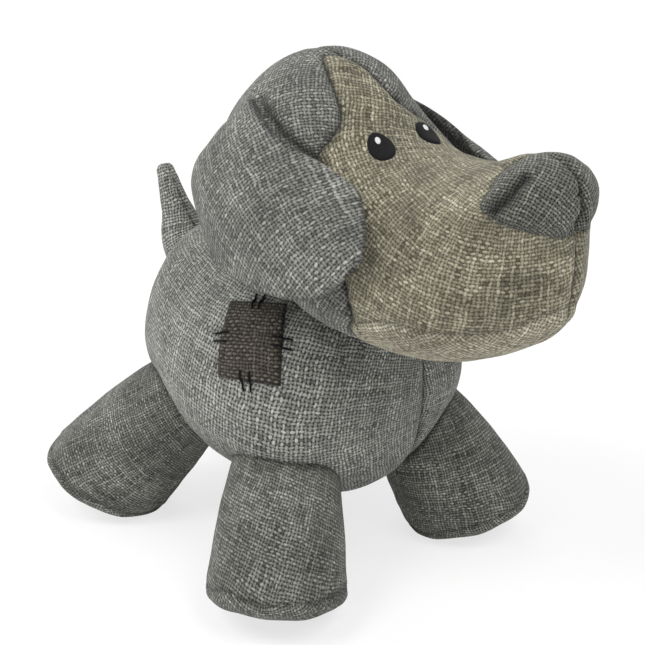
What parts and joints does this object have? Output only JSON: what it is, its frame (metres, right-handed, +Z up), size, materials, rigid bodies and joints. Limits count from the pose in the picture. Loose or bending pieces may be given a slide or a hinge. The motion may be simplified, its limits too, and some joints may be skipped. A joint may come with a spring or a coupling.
{
  "type": "squeaky plush dog toy",
  "caption": "Stuffed standing puppy toy in woven linen-look fabric, long muzzle, floppy ears, a sewn flank patch and a squeaker in its belly.",
  "frame": {"origin": "on the floor under the middle of the toy, where it stands on its feet", "axes": "+X is where the puppy looks, +Y is its left, +Z is up"},
  "size_m": [0.2028, 0.1411, 0.1782],
  "materials": {
    "body_linen": "plain weave, heathered grey",
    "head_linen": "plain weave, heathered grey",
    "leg_linen": "plain weave, heathered dark grey",
    "nose_linen": "plain weave, heathered dark grey",
    "face_linen": "plain weave, heathered beige",
    "patch_cloth": "coarse dark brown weave",
    "black_thread": "embroidery thread",
    "pale_thread": "embroidery thread",
    "stuffing": "loose polyester fill",
    "squeaker_plastic": "blow-moulded, translucent white"
  },
  "bodies": {
    "torso": {"body_panel_right": "body_linen", "body_panel_left": "body_linen", "body_stuffing_upper": "stuffing", "body_stuffing_lower": "stuffing", "flank_patch": "patch_cloth", "patch_stitch_1": "black_thread", "patch_stitch_2": "black_thread", "patch_stitch_3": "black_thread", "patch_stitch_4": "black_thread", "patch_stitch_5": "black_thread", "patch_stitch_6": "black_thread", "patch_stitch_7": "black_thread", "patch_stitch_8": "black_thread", "squeaker_base": "squeaker_plastic", "squeaker_bellows": "squeaker_plastic", "squeaker_whistle": "squeaker_plastic"},
    "squeaker_crown": {"squeaker_crown": "squeaker_plastic"},
    "squeaker_reed": {"squeaker_reed": "squeaker_plastic"},
    "head": {"head_panel_right": "head_linen", "head_panel_left": "head_linen", "face_panel": "face_linen", "chin_panel": "face_linen", "head_stuffing": "stuffing", "nose_pad": "nose_linen", "eye_right": "black_thread", "eye_left": "black_thread", "eye_glint_right": "pale_thread", "eye_glint_left": "pale_thread"},
    "right_ear": {"ear_right_outer": "head_linen", "ear_right_inner": "head_linen", "ear_right_batting": "stuffing"},
    "left_ear": {"ear_left_outer": "head_linen", "ear_left_inner": "head_linen", "ear_left_batting": "stuffing"},
    "front_right_leg": {"front_right_leg_sleeve": "leg_linen", "front_right_leg_sole": "leg_linen", "front_right_leg_stuffing": "stuffing"},
    "front_left_leg": {"front_left_leg_sleeve": "leg_linen", "front_left_leg_sole": "leg_linen", "front_left_leg_stuffing": "stuffing"},
    "rear_right_leg": {"rear_right_leg_sleeve": "leg_linen", "rear_right_leg_sole": "leg_linen", "rear_right_leg_stuffing": "stuffing"},
    "rear_left_leg": {"rear_left_leg_sleeve": "leg_linen", "rear_left_leg_sole": "leg_linen", "rear_left_leg_stuffing": "stuffing"},
    "tail": {"tail_panel_right": "body_linen", "tail_panel_left": "body_linen", "tail_stuffing": "stuffing"}
  },
  "joints": [
    {"name": "head_nod", "type": "hinge", "parent": "torso", "child": "head", "pos_m": [-0.0066, 0, 0.11415], "axis": [0, 1, 0], "range_deg": [-8, 8], "stiffness_Nm_per_rad": 1.2},
    {"name": "right_ear_lift", "type": "hinge", "parent": "head", "child": "right_ear", "pos_m": [0.00994, -0.02945, 0.1585], "axis": [-0.8968, 0.0863, 0.4339], "range_deg": [0, 40]},
    {"name": "left_ear_lift", "type": "hinge", "parent": "head", "child": "left_ear", "pos_m": [0.00994, 0.02945, 0.1585], "axis": [0.8968, 0.0863, -0.4339], "range_deg": [0, 40]},
    {"name": "front_right_leg_swing", "type": "hinge", "parent": "torso", "child": "front_right_leg", "pos_m": [0.00993, -0.03263, 0.046], "axis": [0.5332, -0.6824, 0.5], "range_deg": [-15, 15], "stiffness_Nm_per_rad": 0.4},
    {"name": "front_left_leg_swing", "type": "hinge", "parent": "torso", "child": "front_left_leg", "pos_m": [0.0099, 0.03258, 0.046], "axis": [0.5332, 0.6824, 0.5], "range_deg": [-15, 15], "stiffness_Nm_per_rad": 0.4},
    {"name": "rear_right_leg_swing", "type": "hinge", "parent": "torso", "child": "rear_right_leg", "pos_m": [-0.05071, -0.02461, 0.05], "axis": [-0.5991, -0.4195, 0.682], "range_deg": [-15, 15], "stiffness_Nm_per_rad": 0.4},
    {"name": "rear_left_leg_swing", "type": "hinge", "parent": "torso", "child": "rear_left_leg", "pos_m": [-0.0507, 0.02461, 0.05], "axis": [-0.5991, 0.4195, 0.682], "range_deg": [-15, 15], "stiffness_Nm_per_rad": 0.4},
    {"name": "tail_wag", "type": "hinge", "parent": "torso", "child": "tail", "pos_m": [-0.07425, 0, 0.10154], "axis": [0.809, 0, 0.5878], "range_deg": [-25, 25], "stiffness_Nm_per_rad": 0.02},
    {"name": "squeaker_press", "type": "slide", "parent": "torso", "child": "squeaker_crown", "axis": [0, 0, -1], "range_m": [0, 0.008], "stiffness_N_per_m": 500, "deforming": ["squeaker_bellows"]},
    {"name": "reed_flutter", "type": "hinge", "parent": "torso", "child": "squeaker_reed", "pos_m": [-0.01556, 0, 0.0599], "axis": [0, 1, 0], "range_deg": [-5, 5], "stiffness_Nm_per_rad": 0.0005}
  ]
}
